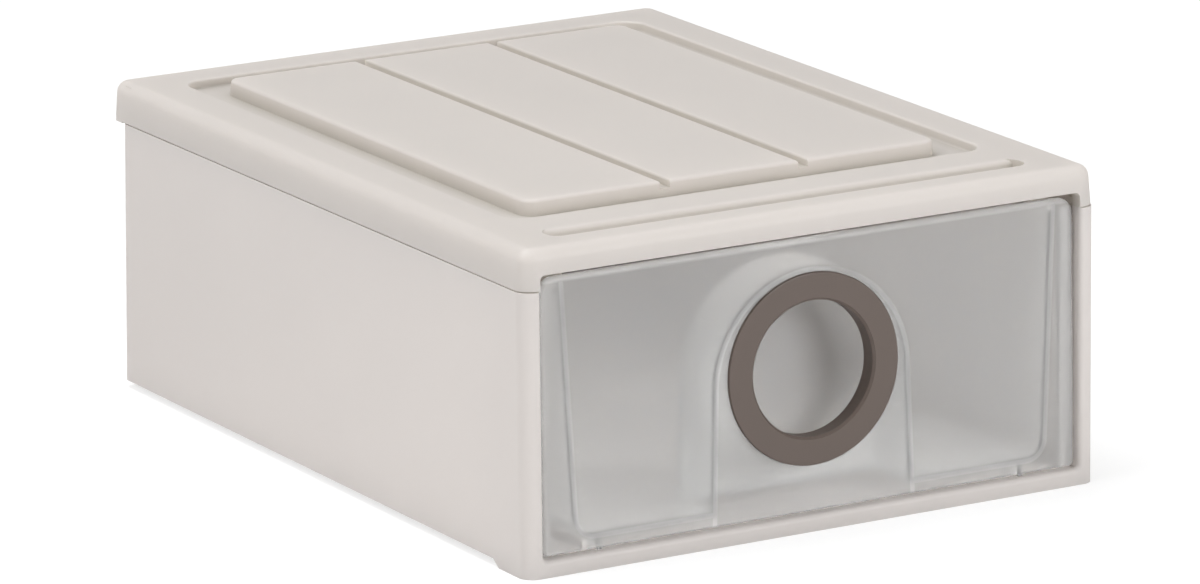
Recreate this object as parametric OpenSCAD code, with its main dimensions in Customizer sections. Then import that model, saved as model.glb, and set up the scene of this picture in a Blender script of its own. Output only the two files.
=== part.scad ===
// Stackable drawer box: an off-white case with a press-fit top cover, a frosted drawer and a ring handle.
// X runs across the front, Y from front to back and Z up. The origin is the middle of the footprint,
// on the table. All sizes are in millimetres.

/* [Case] */
// Width over the side walls
case_w = 260; // [230:5:300]
// Depth from the front face to the back wall's outside, at the seam
case_d = 333.5; // [290:0.5:380]
// Slope of the back wall in degrees, further back at the bottom
back_lean = 2.2; // [0:0.1:2.8]
// Height of the seam between case and cover
seam_z = 113; // [105:1:130]
// Thickness of the case walls
case_wall = 2.4; // [2:0.1:3]
// Radius of the upright front corners
front_corner_r = 6; // [4:0.5:7]
// Radius of the upright back corners
back_corner_r = 3.5; // [3:0.5:6]
// Height of the floor's top side above the table
floor_z = 6.6; // [6.2:0.1:9]
// Thickness of the floor
floor_t = 2.3; // [1.8:0.1:2.6]

/* [Foot] */
// Height of the side walls' lower edge above the table
skirt_lift = 3; // [1:0.5:3.5]
// Depth of the foot where it wraps round each front corner
foot_run = 21.4; // [15:0.2:40]
// Length of the ramp from the foot up to the side wall's edge
foot_ramp = 4.5; // [2:0.5:10]
// Clearance between the locating rib underneath and the plateau of a unit below
stack_fit = 1; // [0.5:0.1:2]
// Thickness of the ribs underneath
under_rib_t = 2; // [1.6:0.1:2.5]
// Height of the locating rib's edge above the table
under_rib_lift = 0.6; // [0.4:0.1:1.2]
// Width of each back foot
back_foot_w = 11; // [8:0.5:13]
// Length of each back foot
back_foot_l = 30; // [20:1:60]
// Distance from the back feet to the outside of the back wall
back_foot_gap = 14; // [8:1:40]

/* [Front opening] */
// Width of each front post
post_w = 8; // [7:0.5:12]
// Gap between the closed drawer's panel and the ledge that stops it
stop_gap = 0.3; // [0.2:0.1:0.6]
// How far that ledge reaches in beyond the post
stop_reach = 6; // [4:0.5:6.5]
// Rounding of the posts' and the lower bar's edges towards the opening
post_edge_r = 2; // [1:0.1:2.2]
// Rounding of the cover's edge above the opening
cover_rim_r = 0.6; // [0.3:0.1:1.2]
// Height of the opening above the seam, up into the cover
opening_rise = 6.3; // [4:0.1:8]
// Radius of the opening's top corners
opening_top_r = 2; // [1.5:0.5:4]
// Radius of the opening's bottom corners
opening_bottom_r = 2; // [1:0.5:3]

/* [Cover] */
// Height of the cover's border above the seam
cover_h = 16.5; // [14:0.5:24]
// Overhang of the cover behind the back wall, at the seam
cover_overhang = 11; // [7:0.5:16]
// Thickness of the cover
cover_wall = 2.3; // [1.8:0.1:2.5]
// Slope of the cover's sides in degrees
cover_draft = 4; // [1:0.5:6]
// Radius of the cover's upright corners
cover_corner_r = 7; // [6.8:0.1:10]
// Radius of the cover's top edge
cover_edge_r = 5; // [3:0.1:5.4]
// Height of the shadow line between the case and the cover
seam_line_h = 0.5; // [0.3:0.1:0.8]
// Depth of that line
seam_line_t = 0.9; // [0.4:0.1:1]
// How far the locating lip reaches down inside the case
lip_h = 5; // [4:0.5:8]
// Thickness of the locating lip
lip_t = 1.6; // [1.2:0.1:2.2]
// Clearance between the lip and the case walls
lip_fit = 0.3; // [0.2:0.05:0.5]
// Radius of the snap beads on the lip
bead_r = 1.1; // [0.9:0.1:1.3]
// Length of each snap bead
bead_len = 22; // [12:1:30]
// Room at each end of a bead in its pocket
bead_end_gap = 1; // [0.5:0.1:2]
// Distance from the back of the ledge to the front end of the lip
lip_setback = 2; // [1:0.5:6]
// Distance from the front end of the lip to the stop rib
stop_rib_setback = 1; // [0.5:0.5:4]

/* [Top relief] */
// Width of the border at each side of the moat
border_side = 22; // [18:0.5:30]
// Width of the border in front of the moat
border_front = 46.5; // [42:0.5:60]
// Width of the border behind the moat
border_back = 21.5; // [16:0.5:30]
// Width of the moat
moat_w = 13.5; // [8:0.5:18]
// Depth of the moat below the border
moat_depth = 3.85; // [2:0.05:5]
// Radius of the moat's outer corners
moat_corner_r = 10; // [7:0.5:20]
// Height of the plateau above the border
plateau_rise = 2.6; // [1.5:0.1:3]
// Radius of the plateau's corners
plateau_corner_r = 6; // [4:0.5:12]
// Rounding of the plateau's top edge
plateau_edge_r = 1.5; // [0.8:0.1:2.4]
// Slope of the walls of moat and plateau in degrees
relief_draft = 5; // [2:0.5:10]
// Number of strips that the plateau is divided into
strip_count = 3; // [1:1:5]
// Width of the grooves between the strips
groove_w = 4; // [3:0.5:8]
// Depth of the grooves
groove_depth = 3; // [2:0.1:3.4]
// Distance from the front face to the slot in the front border
slot_front = 15; // [12:0.5:18]
// Width of that slot
slot_w = 10.8; // [9:0.1:14]
// Depth of the slot
slot_depth = 3.8; // [3:0.1:4]
// Slope of the slot's back wall in degrees
slot_draft = 8; // [2:1:25]
// Radius of the soft edge behind the slot
slot_soft_r = 2.5; // [1.5:0.5:5]
// Radius of the slot's front corners
slot_corner_r = 5.5; // [3:0.5:8]

/* [Drawer] */
// Gap between the front panel and each post
panel_side_gap = 1; // [0.6:0.1:2]
// Gap between the front panel and the floor of the opening
panel_bottom_gap = 1; // [0.8:0.1:3]
// Gap between the front panel and the cover
panel_top_gap = 2.1; // [1.5:0.1:4]
// Thickness of the front panel
panel_t = 2.5; // [2:0.1:3]
// How far the panel's lower edge stands behind the front face
panel_recess = 1.7; // [1:0.1:2]
// Backward lean of the panel in degrees
panel_lean = 0.9; // [0:0.1:1]
// Radius of the panel's top corners
panel_top_r = 7; // [3:0.5:12]
// Radius of the panel's bottom corners
panel_bottom_r = 2.5; // [2:0.5:6]
// Rounding of the panel's front edges
panel_edge_r = 1.8; // [0.8:0.1:1.9]
// How far the tub's sides stand in from the panel's edges
tub_inset = 8.7; // [8.5:0.1:14]
// Drop from the panel's top edge to the tub's rim
rim_drop = 4.8; // [3:0.1:12]
// Thickness of the tub's walls
tub_wall = 2; // [1.6:0.1:2.4]
// Slope of the tub's walls in degrees
tub_draft = 2.8; // [1:0.1:3]
// Radius of the tub's bottom edge, outside
tub_bottom_r = 9; // [5:0.5:9.5]
// Radius of the tub's back corners, outside
tub_corner_r = 16; // [15.5:0.5:24]
// Height of the tub's underside above the case floor
tub_rise = 5.4; // [4.5:0.1:8]
// Gap between the tub's rim and the case's back wall
tub_back_gap = 5.5; // [5:0.5:12]
// Distance of each skid rib from the middle
skid_x = 96; // [60:1:98]
// Thickness of the skid ribs
skid_t = 2; // [1.5:0.1:3]
// Running gap under the skid ribs
skid_gap = 0.3; // [0.2:0.05:0.4]
// Width of the rim's outer flange
rim_w = 2.4; // [1.5:0.1:2.6]
// Thickness of that flange
rim_t = 1.6; // [1.2:0.1:2.5]
// Distance from the tub's back to the stop lugs on the rim
lug_setback = 31; // [20:1:80]

/* [Finger pocket] */
// Radius of the pocket's arch, outside
pocket_r = 44.5; // [40.5:0.5:46]
// Height of the arch's centre above the table
pocket_z = 61; // [56:0.5:64]
// Distance from the front face to the pocket's back wall
pocket_depth = 30; // [22:1:50]
// Spread of each pocket side down to the floor
pocket_flare = 1.5; // [0:0.5:6]

/* [Ring handle] */
// Outer radius of the ring
ring_r = 38.5; // [36:0.5:40]
// Radius of the finger hole
ring_hole_r = 27.2; // [22:0.1:29.5]
// Height of the ring's centre above the table
ring_z = 65; // [60:0.5:68]
// How far the ring stands proud of the panel
ring_proud = 1.2; // [0.8:0.1:1.5]
// Depth of the finger hole's wall
ring_depth = 7.5; // [6.5:0.1:10]
// Radius of the hole in the panel
panel_hole_r = 32; // [31:0.1:34]
// Clearance between the ring's barrel and that hole
barrel_fit = 0.3; // [0.15:0.05:0.5]
// Number of snap hooks on the barrel
hook_count = 4; // [3:1:6]

/* [Hidden] */
$fn = 64;
nudge = 1;

shell_white = [0.86, 0.85, 0.83];
frosted_grey = [0.74, 0.76, 0.76, 0.6];
ring_brown = [0.44, 0.38, 0.35];

overall_d = case_d + cover_overhang;
inner_w = case_w - 2 * case_wall;
back_wall_y = case_d - case_wall;
opening_w = case_w - 2 * post_w;
border_z = seam_z + cover_h;
opening_top_z = seam_z + opening_rise;

// Front panel and the ledge behind it
panel_z = floor_z + panel_bottom_gap;
panel_w = opening_w - 2 * panel_side_gap;
panel_h = opening_top_z - panel_top_gap - panel_z;
stop_depth = panel_recess + panel_t + panel_h * sin(panel_lean) + stop_gap;
lip_front_y = stop_depth + case_wall + lip_setback;
back_foot_edge = 2.5;
back_foot_r = 4;

// Cover
skin_z = border_z - cover_wall;
skin_r = cover_corner_r - cover_wall / cos(cover_draft);
lip_outer_w = inner_w - 2 * lip_fit;
lip_back_y = back_wall_y - lip_fit;
bead_z = seam_z - lip_h / 2;
bead_out = 0.75 * bead_r;

// Relief
moat_z = border_z - moat_depth;
moat_box_w = case_w - 2 * border_side;
moat_box_d = overall_d - border_front - border_back;
plateau_w = moat_box_w - 2 * moat_w;
plateau_d = moat_box_d - 2 * moat_w;
plateau_y = border_front + moat_w;
plateau_z = border_z + plateau_rise;
groove_z = plateau_z - groove_depth;
moat_lip_r = 1;
groove_mouth_r = 1.2;
slot_foot_r = 1.5;
slot_back_y = slot_front + slot_w + slot_soft_r;
slot_back_r = slot_w + slot_soft_r - slot_corner_r - nudge;

// Drawer
rim_z = panel_z + panel_h - rim_drop;
tub_w = panel_w - 2 * tub_inset;
tub_z = floor_z + tub_rise;
tub_back_y = back_wall_y - tub_back_gap;
tub_h = rim_z - tub_z;
tub_start = tub_corner_r + 2 * nudge;
skid_back_y = tub_back_y - tub_h * tan(tub_draft) - tub_bottom_r;

// Guides and stops
guide_gap = 0.6;
guide_rail_h = 3;
stop_rib_y = lip_front_y + stop_rib_setback;
stop_rib_gap = 2;
lug_y = tub_back_y - lug_setback;
lug_len = 12;
lug_rise = 5.5;

// Ring
barrel_r = panel_hole_r - barrel_fit;
hook_reach = 0.8;
hook_play = 0.1;
hook_angle = 28;

// Everything below is drawn with the front face at Y = 0 and moved to the origin here.
module seated() translate([0, -overall_d / 2, 0]) children();

// The panel's own frame: X across, Y into the drawer and Z up the panel, from its front lower edge.
module on_panel() translate([0, panel_recess, panel_z]) rotate([-panel_lean, 0, 0]) children();

// All that lies in front of a plane at a given depth in the panel's frame
module before_panel(depth)
    on_panel() translate([-case_w, depth - case_d, -case_w]) cube([2 * case_w, case_d, 3 * case_w]);

// Outline of a plate from y0 to y1, with its own corner radii in front and behind
module plan(w, y0, y1, r_front, r_back) {
    r = max(r_front, r_back);
    translate([-w / 2 + r, y0]) square([w - 2 * r, y1 - y0]);
    translate([-w / 2, y0 + r_front]) square([w, y1 - y0 - r_front - r_back]);
    translate([-w / 2 + r_front, y0]) square([w - 2 * r_front, r_front]);
    translate([-w / 2 + r_back, y1 - r_back]) square([w - 2 * r_back, r_back]);
    for (side = [-1, 1]) {
        translate([side * (w / 2 - r_front), y0 + r_front]) circle(r_front);
        translate([side * (w / 2 - r_back), y1 - r_back]) circle(r_back);
    }
}

// Section of an edge, X outwards and Y up: a face that leans in by the draft, then an arc onto the top.
// $lap is how far it runs back past X = 0, into what it joins.
module edge_section(r, z0, z1, draft, edge_r) {
    centre_z = z1 - edge_r;
    centre = [r - (centre_z - z0) * tan(draft) - edge_r / cos(draft), centre_z];
    outward = edge_r * [cos(draft), sin(draft)];
    difference() {
        polygon([[-$lap, z0], [r, z0], [r - (z1 - z0) * tan(draft), z1], [-$lap, z1]]);
        translate(centre) difference() {
            polygon([[0, 0], 2 * outward, [2 * edge_r, 2 * edge_r], [0, 2 * edge_r]]);
            circle(edge_r);
        }
    }
}

// Sweeps its child, an edge section that uses $r and $lap, round a w by d outline that starts at Y = 0.
// The section runs along the four sides, turns about each corner's centre and is filled from z0 to z1.
module swept(w, d, r_front, r_back, z0, z1) {
    r_side = min(r_front, r_back);
    for (side = [0, 1]) mirror([side, 0, 0]) {
        translate([w / 2 - r_side, d - r_back, 0]) rotate([90, 0, 0])
            linear_extrude(d - r_front - r_back) let ($r = r_side, $lap = nudge) children();
        translate([w / 2 - r_back, d - r_back, 0])
            rotate_extrude(angle = 90) let ($r = r_back, $lap = 0) children();
        translate([w / 2 - r_front, r_front, 0]) rotate([0, 0, -90])
            rotate_extrude(angle = 90) let ($r = r_front, $lap = 0) children();
    }
    translate([-w / 2 + r_back, d - r_back, 0]) rotate([90, 0, 90])
        linear_extrude(w - 2 * r_back) let ($r = r_back, $lap = nudge) children();
    translate([w / 2 - r_front, r_front, 0]) rotate([90, 0, -90])
        linear_extrude(w - 2 * r_front) let ($r = r_front, $lap = nudge) children();
    translate([-w / 2 + r_side, r_front, z0]) cube([w - 2 * r_side, d - r_front - r_back, z1 - z0]);
}

// Block with drafted sides, rounded corners and a rounded top edge
module drafted_block(w, d, r, z0, z1, draft, edge_r)
    swept(w, d, r, r, z0, z1) edge_section($r, z0, z1, draft, edge_r);

// What rounding a recess's rim takes away. The recess's wall meets the rim at [x, z] and leans by lean;
// X runs out of the recess and the rounding's radius is r.
module lip_section(x, z, lean, r) {
    centre = [x - r * tan(lean) + r / cos(lean), z - r];
    touch = centre + r * [-cos(lean), sin(lean)];
    difference() {
        polygon([touch, [centre[0], z], [centre[0], z + nudge / 2],
                 [x - r, z + nudge / 2], [x - r, touch[1]]]);
        translate(centre) circle(r);
    }
}

// The front opening as a solid, from in front of the face back to the ledges, with its rim rounded by edge_r
module opening_cut(edge_r)
    translate([0, 0, floor_z]) rotate([90, 0, 0])
        swept(opening_w, opening_top_z - floor_z, opening_bottom_r, opening_top_r, -stop_depth, nudge / 2) {
            union() {
                translate([-$lap, -stop_depth]) square([$lap + $r, stop_depth + nudge / 2]);
                lip_section($r, 0, 0, min(edge_r, $r));
            }
        }

/* ---- case ---- */

// Jamb behind the right front post, seen from above, with the ledge that stops the drawer
module post_plan() {
    jamb_x = opening_w / 2;
    translate([jamb_x, 0]) square([case_wall, stop_depth + case_wall]);
    translate([jamb_x - stop_reach, stop_depth]) square([stop_reach + case_wall, case_wall]);
}

// Block from z0 to z1, as far in from the case's outside as t: upright in front, with a leaning back
module case_block(t, z0, z1) {
    w = case_w - 2 * t;
    front_r = front_corner_r - t;
    back_r = back_corner_r - t;
    intersection() {
        translate([0, 0, z0]) linear_extrude(z1 - z0)
            plan(w, t, case_d + cover_overhang, front_r, front_r);
        translate([0, case_d, seam_z]) rotate([back_lean, 0, 0])
            translate([0, 0, -2 * seam_z]) linear_extrude(3 * seam_z)
                plan(w, -case_d - cover_overhang, -t, front_r, back_r);
    }
}

// Side view of what is cut away under the side and back walls, behind the foot and its ramp
module skirt_relief() {
    polygon([
        [foot_run, -nudge], [foot_run, 0], [foot_run + foot_ramp, skirt_lift],
        [overall_d, skirt_lift], [overall_d, -nudge]
    ]);
}

// Locating rib that drops over the plateau of a unit below, and two back feet
module under_ribs() {
    rib_w = plateau_w + 2 * (stack_fit + under_rib_t);
    rib_r = plateau_corner_r + stack_fit + under_rib_t;
    rib_y = plateau_y - stack_fit - under_rib_t;
    rib_end = plateau_y + plateau_d + stack_fit + under_rib_t;
    top = floor_z - floor_t / 2;
    translate([0, 0, under_rib_lift]) linear_extrude(top - under_rib_lift) difference() {
        plan(rib_w, rib_y, rib_end, rib_r, rib_r);
        plan(rib_w - 2 * under_rib_t, rib_y + under_rib_t, rib_end - under_rib_t,
             rib_r - under_rib_t, rib_r - under_rib_t);
    }
    foot_x = (moat_box_w + back_foot_w) / 2 + back_foot_edge;
    foot_inner_r = back_foot_r - under_rib_t;
    for (side = [-1, 1])
        translate([side * foot_x, case_d - back_foot_l - back_foot_gap, 0]) linear_extrude(top) difference() {
            plan(back_foot_w, 0, back_foot_l, back_foot_r, back_foot_r);
            plan(back_foot_w - 2 * under_rib_t, under_rib_t, back_foot_l - under_rib_t,
                 foot_inner_r, foot_inner_r);
        }
}

// Where the cover snaps: places along each side wall and across the back wall
function side_bead_ys() = [for (i = [0:2]) case_d * (0.2 + 0.3 * i)];
function back_bead_xs() = [for (side = [-1, 1]) side * case_w / 4];

// Rods along each snap bead, of radius r
module bead_rods(r, len) {
    for (side = [-1, 1]) for (y = side_bead_ys())
        translate([side * (lip_outer_w / 2 - bead_r + bead_out), y + len / 2, bead_z])
            rotate([90, 0, 0]) cylinder(h = len, r = r);
    for (x = back_bead_xs())
        translate([x - len / 2, lip_back_y - bead_r + bead_out, bead_z])
            rotate([0, 90, 0]) cylinder(h = len, r = r);
}

module case_body() color(shell_white) seated() {
    difference() {
        union() {
            difference() {
                case_block(0, 0, seam_z);
                case_block(case_wall, -nudge, seam_z + nudge);
            }
            case_block(case_wall / 2, floor_z - floor_t, floor_z);
            for (side = [0, 1]) mirror([side, 0, 0]) linear_extrude(seam_z) post_plan();
        }
        translate([-case_w, 0, 0]) rotate([90, 0, 90]) linear_extrude(2 * case_w) skirt_relief();
        opening_cut(post_edge_r);
        bead_rods(bead_r + lip_fit, bead_len + 2 * bead_end_gap);
    }
    under_ribs();
    // low rails that keep the skid ribs in line
    for (side = [0, 1]) mirror([side, 0, 0])
        translate([skid_x + skid_t / 2 + guide_gap, lip_front_y, floor_z - floor_t / 2])
            cube([skid_t, back_wall_y - lip_front_y - tub_back_gap, guide_rail_h + floor_t / 2]);
}

/* ---- cover ---- */

// Section of what is sunk in the border, X outwards: a wall r out that leans in, its foot and its rim rounded
module sunk_section(r, depth, draft, foot_r, rim_r) translate([0, border_z]) {
    mirror([0, 1]) edge_section(r, 0, depth, draft, foot_r);
    translate([-$lap, -nudge / 2]) square([$lap + r - nudge / 4, nudge]);
    lip_section(r, 0, draft, rim_r);
}

// The moat's whole outline as a pit, which the plateau then stands in
module pit() swept(moat_box_w, moat_box_d, moat_corner_r, moat_corner_r, moat_z, border_z + nudge / 2)
    sunk_section($r, moat_depth, relief_draft, moat_lip_r, moat_lip_r);

// Groove seen end on: flat floor, leaning walls and lips rounded onto the plateau
module groove_section() {
    half = groove_w / 2;
    top = half + groove_depth * tan(relief_draft);
    polygon([[-half, groove_z], [half, groove_z], [top, plateau_z], [top, plateau_z + nudge / 2],
             [-top, plateau_z + nudge / 2], [-top, plateau_z]]);
    for (side = [0, 1]) mirror([side, 0]) lip_section(top, plateau_z, relief_draft, moat_lip_r);
}

// Distances of the groove centres from the middle
function groove_xs() = strip_count < 2 ? []
    : [for (i = [1:strip_count - 1]) plateau_w * (i / strip_count - 0.5)];

// Rounded mouth of a groove in plan, at the foot of the plateau's wall
module groove_mouth() {
    for (side = [0, 1]) mirror([side, 0]) difference() {
        translate([0, -nudge]) square([groove_w / 2 + groove_mouth_r, groove_mouth_r + nudge]);
        translate([groove_w / 2 + groove_mouth_r, groove_mouth_r]) circle(groove_mouth_r);
    }
}

module grooves() {
    wall_lean = (plateau_z - groove_z) / 2 * tan(relief_draft);
    for (x = groove_xs()) translate([x, plateau_y, 0]) {
        translate([0, -nudge, 0]) rotate([90, 0, 0]) mirror([0, 0, 1])
            linear_extrude(plateau_d + 2 * nudge) groove_section();
        for (end = [0, 1]) translate([0, end * plateau_d, groove_z]) mirror([0, end, 0])
            translate([0, wall_lean, 0]) linear_extrude(groove_depth + nudge) groove_mouth();
    }
}

// Slot with an upright front wall and a soft edge behind it, rounded at both ends
module front_slot() intersection() {
    translate([-case_w / 2, slot_front, 0]) rotate([90, 0, 90]) linear_extrude(case_w)
        let ($lap = 0) sunk_section(slot_w, slot_depth, slot_draft, slot_foot_r, slot_soft_r);
    translate([0, 0, border_z - 2 * slot_depth]) linear_extrude(3 * slot_depth)
        plan(moat_box_w, slot_front, slot_back_y, slot_corner_r, slot_back_r);
}

// Hollow under the cover's skin, less the ground that the moat and the slot need
module cover_hollow() difference() {
    translate([0, cover_wall / cos(cover_draft), -nudge])
        drafted_block(case_w - 2 * cover_wall / cos(cover_draft),
                      overall_d - 2 * cover_wall / cos(cover_draft), skin_r,
                      seam_z, skin_z + nudge, cover_draft, cover_edge_r - cover_wall);
    translate([0, 0, moat_z - cover_wall]) linear_extrude(moat_depth + nudge)
        plan(moat_box_w + 2 * cover_wall, border_front - cover_wall, overall_d - border_back + cover_wall,
             moat_corner_r + cover_wall, moat_corner_r + cover_wall);
    translate([0, 0, border_z - slot_depth - cover_wall]) linear_extrude(slot_depth + nudge)
        plan(moat_box_w + 2 * cover_wall, slot_front - cover_wall, slot_back_y + cover_wall,
             slot_corner_r + cover_wall, slot_back_r + cover_wall);
}

// Hollow under each strip of the plateau
module strip_hollows() {
    edges = concat([-plateau_w / 2 - groove_w / 2], groove_xs(), [plateau_w / 2 + groove_w / 2]);
    in = groove_w / 2 + cover_wall + plateau_edge_r;
    for (i = [0:len(edges) - 2])
        translate([edges[i] + in, plateau_y + in, moat_z - cover_wall - nudge])
            cube([edges[i + 1] - edges[i] - 2 * in, plateau_d - 2 * in,
                  plateau_z - moat_z + nudge]);
}

// Line that shows between case and cover, from the front corners back to the case's back wall
module seam_line() {
    line_r = cover_corner_r - seam_line_t;
    translate([0, 0, seam_z - nudge]) linear_extrude(nudge + seam_line_h) difference() {
        translate([-case_w, -nudge]) square([2 * case_w, case_d + nudge]);
        plan(case_w - 2 * seam_line_t, seam_line_t, overall_d, line_r, line_r);
    }
}

// Wall round the opening inside the cover, the same depth as the case's jambs
module cover_jamb() {
    w = opening_w + 2 * case_wall;
    translate([0, stop_depth, seam_z]) rotate([90, 0, 0]) linear_extrude(stop_depth - cover_wall / 2)
        plan(w, -opening_top_r - case_wall, opening_rise + case_wall, nudge, opening_top_r + case_wall);
}

// Lip that drops inside the side and back walls, with the inner wall above the case's back wall
module cover_lip() {
    side_run = lip_back_y - lip_front_y;
    for (side = [0, 1]) mirror([side, 0, 0]) {
        translate([lip_outer_w / 2 - lip_t, lip_front_y, seam_z - lip_h])
            cube([lip_t, side_run, lip_h + lip_t]);
        translate([lip_outer_w / 2 - lip_t, lip_front_y, seam_z])
            cube([lip_t + case_wall - cover_wall + lip_fit + nudge, side_run, lip_t]);
    }
    translate([-lip_outer_w / 2, lip_back_y - lip_t, seam_z - lip_h])
        cube([lip_outer_w, lip_t, lip_h + nudge]);
    translate([-case_w / 2 + cover_wall, lip_back_y - lip_t, seam_z])
        cube([case_w - 2 * cover_wall, case_d - lip_back_y + lip_t, skin_z - seam_z + cover_wall / 2]);
}

// Ribs that hold the drawer's rim level, each with the stop for the lug on that side
module cover_guides() {
    rim_x = tub_w / 2 + rim_w;
    guide_t = rim_w - guide_gap;
    top = skin_z + cover_wall / 2;
    for (side = [0, 1]) mirror([side, 0, 0]) {
        translate([rim_x - guide_t, stop_rib_y, rim_z + guide_gap])
            cube([guide_t, tub_back_y - tub_corner_r - stop_rib_y, top - rim_z - guide_gap]);
        translate([tub_w / 2 - 3 * tub_wall, stop_rib_y, rim_z + stop_rib_gap])
            cube([3 * tub_wall + rim_w - nudge / 2, under_rib_t, top - rim_z - stop_rib_gap]);
    }
}

module top_cover() color(shell_white) seated() {
    difference() {
        union() {
            difference() {
                drafted_block(case_w, overall_d, cover_corner_r, seam_z, border_z, cover_draft, cover_edge_r);
                cover_hollow();
                translate([0, border_front, 0]) pit();
                front_slot();
            }
            translate([0, plateau_y, 0]) drafted_block(plateau_w, plateau_d, plateau_corner_r,
                moat_z - cover_wall / 2, plateau_z, relief_draft, plateau_edge_r);
            cover_jamb();
        }
        strip_hollows();
        grooves();
        opening_cut(cover_rim_r);
        translate([-case_w, -nudge, 0]) cube([2 * case_w, 2 * stop_depth, seam_z]);
        seam_line();
    }
    cover_lip();
    cover_guides();
    bead_rods(bead_r, bead_len);
}

/* ---- drawer ---- */

// The tub's form, inset by t for its inside: drafted walls, round back corners and a round bottom edge
module tub_form(t) {
    in = t / cos(tub_draft);
    r = tub_corner_r - in;
    rise = t > 0 ? nudge : 0;
    translate([0, -tub_start, rim_z]) mirror([0, 0, 1])
        swept(tub_w - 2 * in, tub_back_y + tub_start - in, r, r, -rise, tub_h - t)
            edge_section($r, -rise, tub_h - t, tub_draft, tub_bottom_r - t);
}

// Finger pocket in front view, as far as r from the arch's centre
module pocket_front(r) {
    foot = r + pocket_flare;
    translate([0, pocket_z]) circle(r);
    polygon([[-r, pocket_z], [r, pocket_z], [foot, tub_z - nudge], [-foot, tub_z - nudge]]);
}

module pocket_form(r, depth)
    translate([0, depth, 0]) rotate([90, 0, 0]) linear_extrude(depth + nudge) pocket_front(r);

module panel()
    on_panel() rotate([90, 0, 0]) translate([0, 0, -panel_t])
        swept(panel_w, panel_h, panel_bottom_r, panel_top_r, 0, panel_t)
            edge_section($r, 0, panel_t, 0, panel_edge_r);

// Stop lug seen from the side: an upright face to the front and a ramp behind, from the rim up
module lug_side()
    polygon([[0, -rim_t], [0, lug_rise], [tub_wall, lug_rise], [lug_len, 0], [lug_len, -rim_t]]);

module drawer() color(frosted_grey) seated() {
    difference() {
        union() {
            difference() {
                union() {
                    tub_form(0);
                    translate([0, 0, rim_z - rim_t]) linear_extrude(rim_t)
                        plan(tub_w + 2 * rim_w, -tub_start, tub_back_y + rim_w,
                             tub_corner_r + rim_w, tub_corner_r + rim_w);
                }
                difference() {
                    tub_form(tub_wall);
                    pocket_form(pocket_r, pocket_depth);
                }
                pocket_form(pocket_r - tub_wall, pocket_depth - tub_wall);
                before_panel(panel_t / 2);
            }
            panel();
        }
        on_panel() translate([0, panel_t + nudge, (ring_z - panel_z) / cos(panel_lean)]) rotate([90, 0, 0])
            cylinder(h = panel_t + 2 * nudge, r = panel_hole_r);
    }
    skid_y = panel_recess + panel_t / 2;
    for (side = [-1, 1])
        translate([side * skid_x - skid_t / 2, skid_y, floor_z + skid_gap])
            cube([skid_t, skid_back_y - skid_y, tub_rise - skid_gap + tub_wall / 2]);
    for (side = [0, 1]) mirror([side, 0, 0])
        translate([tub_w / 2 - tub_wall, lug_y, rim_z]) rotate([90, 0, 90])
            linear_extrude(tub_wall) lug_side();
}

/* ---- handle ---- */

// Section of the ring, X from its axis and Y out of the panel: flange with a rounded edge, and barrel
module ring_section() {
    outer_edge_r = ring_proud / 2;
    bevel = ring_proud * 0.8;
    polygon([
        [ring_hole_r, ring_proud - ring_depth], [barrel_r, ring_proud - ring_depth], [barrel_r, 0],
        [ring_r, 0], [ring_r, ring_proud - outer_edge_r], [ring_r - outer_edge_r, ring_proud],
        [ring_hole_r + bevel, ring_proud], [ring_hole_r, ring_proud - bevel]
    ]);
    translate([ring_r - outer_edge_r, ring_proud - outer_edge_r]) circle(outer_edge_r);
}

// Section of a snap hook on the barrel, with its catch against the panel's back
module hook_section() {
    catch_y = -panel_t - hook_play;
    polygon([
        [barrel_r - nudge, catch_y], [panel_hole_r + hook_reach, catch_y],
        [panel_hole_r + hook_reach, catch_y - hook_reach], [barrel_r, catch_y - 3 * hook_reach],
        [barrel_r - nudge, catch_y - 3 * hook_reach]
    ]);
}

module ring_handle() color(ring_brown) seated()
    on_panel() translate([0, 0, (ring_z - panel_z) / cos(panel_lean)]) rotate([90, 0, 0]) {
        rotate_extrude() ring_section();
        for (i = [0:hook_count - 1]) rotate([0, 0, 360 * i / hook_count + 45 - hook_angle / 2])
            rotate_extrude(angle = hook_angle) hook_section();
    }

case_body();
top_cover();
drawer();
ring_handle();
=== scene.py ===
"""Looks of the stackable drawer box: off-white satin case and cover, frosted drawer, brown ring handle.

The solids come from the frame. This script gives them their materials, the studio and the camera.
Lengths are in metres, in the frame's own axes: +X right, +Y from the front to the back, +Z up.
"""
import math

import bpy
from mathutils import Matrix, Vector

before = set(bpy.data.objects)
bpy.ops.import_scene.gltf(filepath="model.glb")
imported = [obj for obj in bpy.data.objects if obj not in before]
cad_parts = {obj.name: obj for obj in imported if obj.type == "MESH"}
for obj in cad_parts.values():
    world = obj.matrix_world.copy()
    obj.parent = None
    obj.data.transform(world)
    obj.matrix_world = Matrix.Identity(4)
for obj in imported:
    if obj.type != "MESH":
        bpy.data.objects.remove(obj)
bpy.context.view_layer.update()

MM = 0.001
WHITE = (1.0, 1.0, 1.0, 1.0)

# Camera: where it stands, how it is turned, its focal length and its sensor's width in millimetres
CAMERA_AT = Vector((-1.60986, -2.79224, 0.89743))
CAMERA_YAW = math.radians(30.016)
CAMERA_PITCH = math.radians(14.594)
CAMERA_ROLL = math.radians(-0.639)
CAMERA_LENS = 246.87
SENSOR_WIDTH = 36.0

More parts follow.
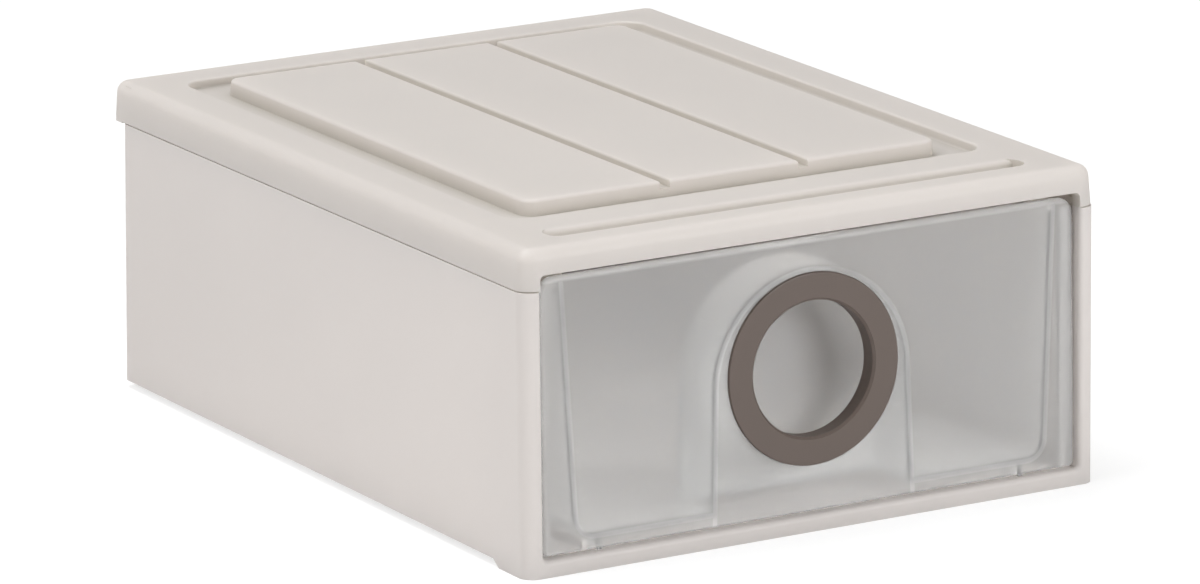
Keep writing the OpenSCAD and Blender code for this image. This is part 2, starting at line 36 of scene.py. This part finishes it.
# Linear colours of the plastics: the case's and the cover's own, what leaks through both, the painted
# shade in the cover's hollows, the painted shade on the case's ledges (darker, so that they don't shine
# through the panel), the frosted drawer's and the ring's
SHELL = (0.760, 0.722, 0.700)
COVER = (0.850, 0.812, 0.790)
SHELL_LEAK = (0.94, 0.89, 0.85)
COVER_HOLLOW_SHADE = (0.310, 0.305, 0.235)
LEDGE_SHADE = (0.330, 0.315, 0.305)
FROSTED = (0.965, 0.970, 0.965)
RING = (0.105, 0.080, 0.068)

# Clouds in a colour: how far it varies as a share of it, clouds per metre, their detail and the ramp's stops
SHELL_VARIATION = 0.012
RING_VARIATION = 0.03
FROSTED_VARIATION = 0.01
SATIN_CLOUDS = 14.0
FROSTED_CLOUDS = 10.0
CLOUD_DETAIL = 3.0
CLOUD_STOPS = (0.3, 0.7)

# Gloss of the satin plastics: roughness, how far the clouds change it, refraction and specular level
SHELL_ROUGHNESS = 0.42
RING_ROUGHNESS = 0.45
SHEEN_CHANGE = 0.04
SATIN_IOR = 1.49
SATIN_SPECULAR = 0.4

# Moulded grain: grains per metre, strength, detail and height
SATIN_GRAIN = 2600.0
SATIN_GRAIN_STRENGTH = 0.06
FROSTED_GRAIN = 1800.0
FROSTED_GRAIN_STRENGTH = 0.05
GRAIN_DETAIL = 2.0
GRAIN_HEIGHT = 0.02 * MM

# How near a wall has to be to make a hollow that gets painted shade, and how many rays measure it
HOLLOW_REACH = 9.0 * MM
HOLLOW_SAMPLES = 8

# Share of the light that each face of the case and of the cover lets through, scattered
CASE_LEAK = 0.28
COVER_LEAK = 0.45

# Share of the light that the frosted plastic lets through: as a single wall, where another wall meets the
# front panel from behind, and how much less on a wall behind the panel that is seen edge on
FROSTED_CLEAR = 0.85
FROSTED_MILKY = 0.77
FROSTED_SLANT = 0.55

# How much the frosted plastic blurs that light, its refraction and specular level, and how far the rest of
# the light spreads in it
FROSTED_BLUR = 0.15
FROSTED_IOR = 1.3
FROSTED_SPECULAR = 0.5
FROSTED_SPREAD = 3.0 * MM

# Share of the lamps' light that passes straight through each face: the front panel's, and those behind it
PANEL_WINDOW = 0.75
INNER_WINDOW = 0.97

# The drawer's tub: wall, half its width at the rim, draft, heights of rim and floor, round bottom edge
WALL = 2.0 * MM
TUB_HALF_W = 112.3 * MM
TUB_DRAFT = math.radians(2.8)
TUB_RIM_Z = 112.4 * MM
TUB_FLOOR_Z = 12.0 * MM
TUB_EDGE_R = 9.0 * MM

# The finger pocket: radius and centre height of its arch, and how far its legs spread for their length
POCKET_R = 44.5 * MM
POCKET_Z = 61.0 * MM
POCKET_FLARE = 0.03

# The front panel: its top, the height of its thick rim and the plane behind which the walls begin
PANEL_TOP_Z = 117.2 * MM
PANEL_RIM = 2.2 * MM
PANEL_BACK_Y = -166.0 * MM

# The case's ledges behind the panel's side edges, which take painted shade: from and to, across and in depth
LEDGE_X = (115.5 * MM, 124.0 * MM)
LEDGE_Y = (-166.4 * MM, -163.2 * MM)

# Half the width of the soft step at the edge of a wall, of the rim, of the panel's back and of a ledge
WALL_SOFT = 0.3 * MM
RIM_SOFT = 0.4 * MM
BACK_SOFT = 0.2 * MM
LEDGE_SOFT = 0.1 * MM

# Level of the surroundings where they light the object, and where they are seen in or through its plastic
WORLD_LEVEL = 0.08
WORLD_IN_PLASTIC = 0.70

# The floor: its width, its level on its own and through the plastic, and the share and level of its glow
FLOOR_SIZE = 40.0
FLOOR = 0.93
FLOOR_IN_PLASTIC = 0.38
FLOOR_GLOW = 0.60
GLOW_LEVEL = 1.15

# Soft boxes: where each one stands, its width and height, and its power in watts
AIM = Vector((0.0, 0.0, 0.05))
SOFT_BOXES = {
    "key": (Vector((0.70, -2.10, 0.78)), 1.0, 0.9, 30.5),
    "fill": (Vector((-2.2, 0.0, 1.6)), 1.6, 1.2, 29.5),
    "top": (Vector((-0.4, 0.4, 2.6)), 2.0, 2.0, 62.0),
}


class Field:
    """A value that varies over a surface, built from math nodes with plain arithmetic."""

    def __init__(self, tree, socket):
        self.tree = tree
        self.socket = socket

    def apply(self, operation, *others):
        node = self.tree.nodes.new("ShaderNodeMath")
        node.operation = operation
        for slot, value in zip(node.inputs, (self, *others)):
            if isinstance(value, Field):
                self.tree.links.new(value.socket, slot)
            else:
                slot.default_value = value
        return Field(self.tree, node.outputs["Value"])

    def __add__(self, other):
        return self.apply("ADD", other)

    def __sub__(self, other):
        return self.apply("SUBTRACT", other)

    def __mul__(self, other):
        return self.apply("MULTIPLY", other)

    def at_least(self, other):
        return self.apply("MAXIMUM", other)

    def at_most(self, other):
        return self.apply("MINIMUM", other)

    def opposite(self):
        """1 where this field is 0, and 0 where it is 1."""
        return self * -1.0 + 1.0

    def above(self, edge, soft):
        """1 well above the edge, 0 well below it, with a soft step between."""
        return (self - (edge - soft)).apply("DIVIDE", 2 * soft).at_least(0.0).at_most(1.0)


def node_material(name):
    """A new material with its node tree cleared to a Principled BSDF and an output."""
    material = bpy.data.materials.new(name)
    material.use_nodes = True
    tree = material.node_tree
    tree.nodes.clear()
    output = tree.nodes.new("ShaderNodeOutputMaterial")
    shader = tree.nodes.new("ShaderNodeBsdfPrincipled")
    tree.links.new(shader.outputs["BSDF"], output.inputs["Surface"])
    return material, tree, shader, output


def noise(tree, scale, detail):
    """Noise in the part's own coordinates, with scale in features per metre."""
    place = tree.nodes.new("ShaderNodeTexCoord")
    texture = tree.nodes.new("ShaderNodeTexNoise")
    texture.inputs["Scale"].default_value = scale
    texture.inputs["Detail"].default_value = detail
    tree.links.new(place.outputs["Object"], texture.inputs["Vector"])
    return texture


def tint(tree, texture, dark, light):
    """A colour ramp over the middle of a noise texture, from dark to light."""
    ramp = tree.nodes.new("ShaderNodeValToRGB")
    for element, stop, colour in zip(ramp.color_ramp.elements, CLOUD_STOPS, (dark, light)):
        element.position = stop
        element.color = (*colour, 1.0)
    tree.links.new(texture.outputs["Fac"], ramp.inputs["Fac"])
    return ramp.outputs["Color"]


def add_grain(tree, shader, scale, strength):
    """Fine moulded grain on the surface."""
    texture = noise(tree, scale, GRAIN_DETAIL)
    node = tree.nodes.new("ShaderNodeBump")
    node.inputs["Strength"].default_value = strength
    node.inputs["Distance"].default_value = GRAIN_HEIGHT
    tree.links.new(texture.outputs["Fac"], node.inputs["Height"])
    tree.links.new(node.outputs["Normal"], shader.inputs["Normal"])


def openness(tree):
    """A field that is 1 in the open and 0 deep in a hollow; it sets where the painted shade goes."""
    node = tree.nodes.new("ShaderNodeAmbientOcclusion")
    node.samples = HOLLOW_SAMPLES
    node.inputs["Distance"].default_value = HOLLOW_REACH
    return Field(tree, node.outputs["AO"])


def blend(share, colour, surface):
    """The surface's own colour, with a second one, a painted shade, where the share falls to 0."""
    node = share.tree.nodes.new("ShaderNodeMix")
    node.data_type = "RGBA"
    node.inputs["A"].default_value = (*colour, 1.0)
    share.tree.links.new(share.socket, node.inputs["Factor"])
    share.tree.links.new(surface, node.inputs["B"])
    return node.outputs["Result"]


def mix_shaders(tree, output, share, own, other):
    """Sends a material's own shader to its output, with a share, a number or a field, of another one."""
    both = tree.nodes.new("ShaderNodeMixShader")
    if isinstance(share, Field):
        tree.links.new(share.socket, both.inputs["Fac"])
    else:
        both.inputs["Fac"].default_value = share
    tree.links.new(own.outputs["BSDF"], both.inputs[1])
    tree.links.new(other.outputs[0], both.inputs[2])
    tree.links.new(both.outputs["Shader"], output.inputs["Surface"])


def plastic(name, colour, variation, roughness, hollow=None, ledge_shade=None, leak=0.0):
    """Satin moulded plastic: an almost even colour, fine grain and a soft gloss that varies a little.

    It can take a painted shade as a second colour in its hollows or on the ledges, and let a share of the
    light leak through.
    """
    material, tree, shader, output = node_material(name)
    clouds = noise(tree, SATIN_CLOUDS, CLOUD_DETAIL)
    dark = [c * (1 - variation) for c in colour]
    light = [c * (1 + variation) for c in colour]
    surface = tint(tree, clouds, dark, light)
    # Painted shade: an olive tone that deepens in the hollows, where the walls close in
    if hollow:
        surface = blend(openness(tree), hollow, surface)
    # Painted shade: the case's ledges behind the panel's side edges are darker, so that they don't shine
    # through it
    if ledge_shade:
        surface = blend(clear_of_ledges(tree), ledge_shade, surface)
    tree.links.new(surface, shader.inputs["Base Color"])
    sheen = tree.nodes.new("ShaderNodeMapRange")
    sheen.inputs["To Min"].default_value = roughness - SHEEN_CHANGE
    sheen.inputs["To Max"].default_value = roughness + SHEEN_CHANGE
    tree.links.new(clouds.outputs["Fac"], sheen.inputs["Value"])
    tree.links.new(sheen.outputs["Result"], shader.inputs["Roughness"])
    add_grain(tree, shader, SATIN_GRAIN, SATIN_GRAIN_STRENGTH)
    shader.inputs["IOR"].default_value = SATIN_IOR
    shader.inputs["Specular IOR Level"].default_value = SATIN_SPECULAR
    if leak:
        through = tree.nodes.new("ShaderNodeBsdfTranslucent")
        through.inputs["Color"].default_value = (*SHELL_LEAK, 1.0)
        mix_shaders(tree, output, leak, shader, through)
    return material


def position(tree):
    """Three fields: the part's own X, Y and Z."""
    place = tree.nodes.new("ShaderNodeTexCoord")
    split = tree.nodes.new("ShaderNodeSeparateXYZ")
    tree.links.new(place.outputs["Object"], split.inputs["Vector"])
    return [Field(tree, split.outputs[axis]) for axis in "XYZ"]


def between(value, limits):
    """1 between the two limits and 0 outside them."""
    return value.above(limits[0], LEDGE_SOFT) - value.above(limits[1], LEDGE_SOFT)


def clear_of_ledges(tree):
    """A field that is 0 on the case's two upright ledges behind the panel's side edges, and 1 elsewhere; it
    places the painted shade on the ledges.
    """
    x, y, _ = position(tree)
    return (between(x.apply("ABSOLUTE"), LEDGE_X) * between(y, LEDGE_Y)).opposite()


def outside_tub(x, z):
    """Distance outside the tub's section, whose sides lean by the draft into a round bottom edge."""
    lean = math.tan(TUB_DRAFT)
    side = x.apply("ABSOLUTE") - z * lean + (TUB_RIM_Z * lean - TUB_HALF_W + TUB_EDGE_R)
    under = z * -1.0 + (TUB_FLOOR_Z + TUB_EDGE_R)
    beside = side.at_least(0.0)
    below = under.at_least(0.0)
    corner = (beside * beside + below * below).apply("SQRT")
    return corner + side.at_least(under).at_most(0.0) - TUB_EDGE_R


def outside_pocket(x, z):
    """Distance outside the pocket's section, an arch on two spreading legs."""
    rise = (z - POCKET_Z).at_least(0.0)
    drop = (z * -1.0 + POCKET_Z).at_least(0.0)
    return (x * x + rise * rise).apply("SQRT") - drop * POCKET_FLARE - POCKET_R


def wall_inside(outside):
    """1 in the wall just inside a section's outline."""
    return outside.above(-WALL, WALL_SOFT) * (outside * -1.0).above(0.0, WALL_SOFT)


def thick_plastic(tree):
    """Two fields: 1 on the front panel's rim and where walls meet it, and 1 on all that is behind it."""
    x, y, z = position(tree)
    pocket = outside_pocket(x, z)
    tub_wall = wall_inside(outside_tub(x, z)) * pocket.above(-WALL, WALL_SOFT)
    rim = z.above(PANEL_TOP_Z - PANEL_RIM, RIM_SOFT)
    any_wall = tub_wall.at_least(wall_inside(pocket)).at_least(rim)
    behind = y.above(PANEL_BACK_Y, BACK_SOFT)
    return any_wall * behind.opposite(), behind


def frosted_plastic():
    """Frosted translucent polypropylene: light goes through, blurred, and the walls' edges look milky."""
    material, tree, shader, output = node_material("frosted_plastic")
    dark = [c * (1 - FROSTED_VARIATION) for c in FROSTED]
    surface = tint(tree, noise(tree, FROSTED_CLOUDS, CLOUD_DETAIL), dark, FROSTED)
    tree.links.new(surface, shader.inputs["Base Color"])
    add_grain(tree, shader, FROSTED_GRAIN, FROSTED_GRAIN_STRENGTH)
    facing = Field(tree, tree.nodes.new("ShaderNodeLayerWeight").outputs["Facing"])
    thick, behind = thick_plastic(tree)
    single = facing * facing * behind * -FROSTED_SLANT + FROSTED_CLEAR
    clear = thick * (FROSTED_MILKY - FROSTED_CLEAR) + single
    tree.links.new(clear.socket, shader.inputs["Transmission Weight"])
    shader.inputs["Subsurface Weight"].default_value = 1.0
    shader.inputs["Subsurface Radius"].default_value = (1.0, 1.0, 1.0)
    shader.inputs["Subsurface Scale"].default_value = FROSTED_SPREAD
    shader.inputs["Roughness"].default_value = FROSTED_BLUR
    shader.inputs["IOR"].default_value = FROSTED_IOR
    shader.inputs["Specular IOR Level"].default_value = FROSTED_SPECULAR
    shadow = Field(tree, tree.nodes.new("ShaderNodeLightPath").outputs["Is Shadow Ray"])
    window = behind * (INNER_WINDOW - PANEL_WINDOW) + PANEL_WINDOW
    mix_shaders(tree, output, window * shadow, shader, tree.nodes.new("ShaderNodeBsdfTransparent"))
    return material


def dress(node, material):
    """Gives a CAD node's surface one material."""
    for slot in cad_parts[node].material_slots:
        slot.material = material


def add_camera():
    """The camera, turned to its bearing, then tilted and rolled."""
    forward = Vector((math.sin(CAMERA_YAW) * math.cos(CAMERA_PITCH),
                      math.cos(CAMERA_YAW) * math.cos(CAMERA_PITCH), -math.sin(CAMERA_PITCH)))
    level = Vector((math.cos(CAMERA_YAW), -math.sin(CAMERA_YAW), 0.0))
    upright = level.cross(forward)
    right = level * math.cos(CAMERA_ROLL) + upright * math.sin(CAMERA_ROLL)
    up = upright * math.cos(CAMERA_ROLL) - level * math.sin(CAMERA_ROLL)
    data = bpy.data.cameras.new("camera")
    data.lens = CAMERA_LENS
    data.sensor_width = SENSOR_WIDTH
    camera = bpy.data.objects.new("camera", data)
    turn = Matrix((right, up, -forward)).transposed().to_4x4()
    camera.matrix_world = Matrix.Translation(CAMERA_AT) @ turn
    bpy.context.scene.collection.objects.link(camera)
    bpy.context.scene.camera = camera


def add_floor():
    """A wide pale floor that meets the white background, keeps the shadow and dims through the plastic."""
    material, tree, shader, output = node_material("floor")
    ray = tree.nodes.new("ShaderNodeLightPath")
    pale = Field(tree, ray.outputs["Is Transmission Ray"]) * (FLOOR_IN_PLASTIC - FLOOR) + FLOOR
    tree.links.new(pale.socket, shader.inputs["Base Color"])
    shader.inputs["Roughness"].default_value = 1.0
    shader.inputs["Specular IOR Level"].default_value = 0.0
    glow = tree.nodes.new("ShaderNodeEmission")
    glow.inputs["Color"].default_value = WHITE
    glow.inputs["Strength"].default_value = GLOW_LEVEL
    mix_shaders(tree, output, Field(tree, ray.outputs["Is Camera Ray"]) * FLOOR_GLOW, shader, glow)
    bpy.ops.mesh.primitive_plane_add(size=FLOOR_SIZE, location=(0.0, 0.0, 0.0))
    floor = bpy.context.active_object
    floor.name = "floor"
    floor.data.materials.append(material)


def add_soft_box(name, at, width, height, power):
    """A large soft area light aimed at the box."""
    data = bpy.data.lights.new(name, "AREA")
    data.shape = "RECTANGLE"
    data.size = width
    data.size_y = height
    data.energy = power
    light = bpy.data.objects.new(name, data)
    turn = (AIM - at).to_track_quat("-Z", "Y")
    light.matrix_world = Matrix.Translation(at) @ turn.to_matrix().to_4x4()
    bpy.context.scene.collection.objects.link(light)


def add_world():
    """White all round: plain white where it is seen, dimmer in and through plastic and where it lights."""
    world = bpy.data.worlds.new("studio")
    world.use_nodes = True
    tree = world.node_tree
    tree.nodes.clear()
    output = tree.nodes.new("ShaderNodeOutputWorld")
    sky = tree.nodes.new("ShaderNodeBackground")
    ray = tree.nodes.new("ShaderNodeLightPath")
    seen, glossy, through = (Field(tree, ray.outputs[kind])
                             for kind in ("Is Camera Ray", "Is Glossy Ray", "Is Transmission Ray"))
    in_plastic = glossy.at_least(through) * WORLD_IN_PLASTIC
    sky.inputs["Color"].default_value = WHITE
    tree.links.new(seen.at_least(in_plastic).at_least(WORLD_LEVEL).socket, sky.inputs["Strength"])
    tree.links.new(sky.outputs["Background"], output.inputs["Surface"])
    bpy.context.scene.world = world


def add_studio():
    """White surroundings, the floor and three soft boxes: in front, to the left and above."""
    add_world()
    add_floor()
    for name, (at, width, height, power) in SOFT_BOXES.items():
        add_soft_box(name, at, width, height, power)


def main():
    add_camera()
    add_studio()
    # The case gets painted shade on its ledges
    dress("case_body", plastic("case_plastic", SHELL, SHELL_VARIATION, SHELL_ROUGHNESS,
                               ledge_shade=LEDGE_SHADE, leak=CASE_LEAK))
    # The cover gets painted shade in its hollows
    dress("top_cover", plastic("cover_plastic", COVER, SHELL_VARIATION, SHELL_ROUGHNESS,
                               hollow=COVER_HOLLOW_SHADE, leak=COVER_LEAK))
    dress("drawer", frosted_plastic())
    dress("ring_handle", plastic("ring_plastic", RING, RING_VARIATION, RING_ROUGHNESS))
    bpy.context.scene.view_settings.view_transform = "Standard"


main()
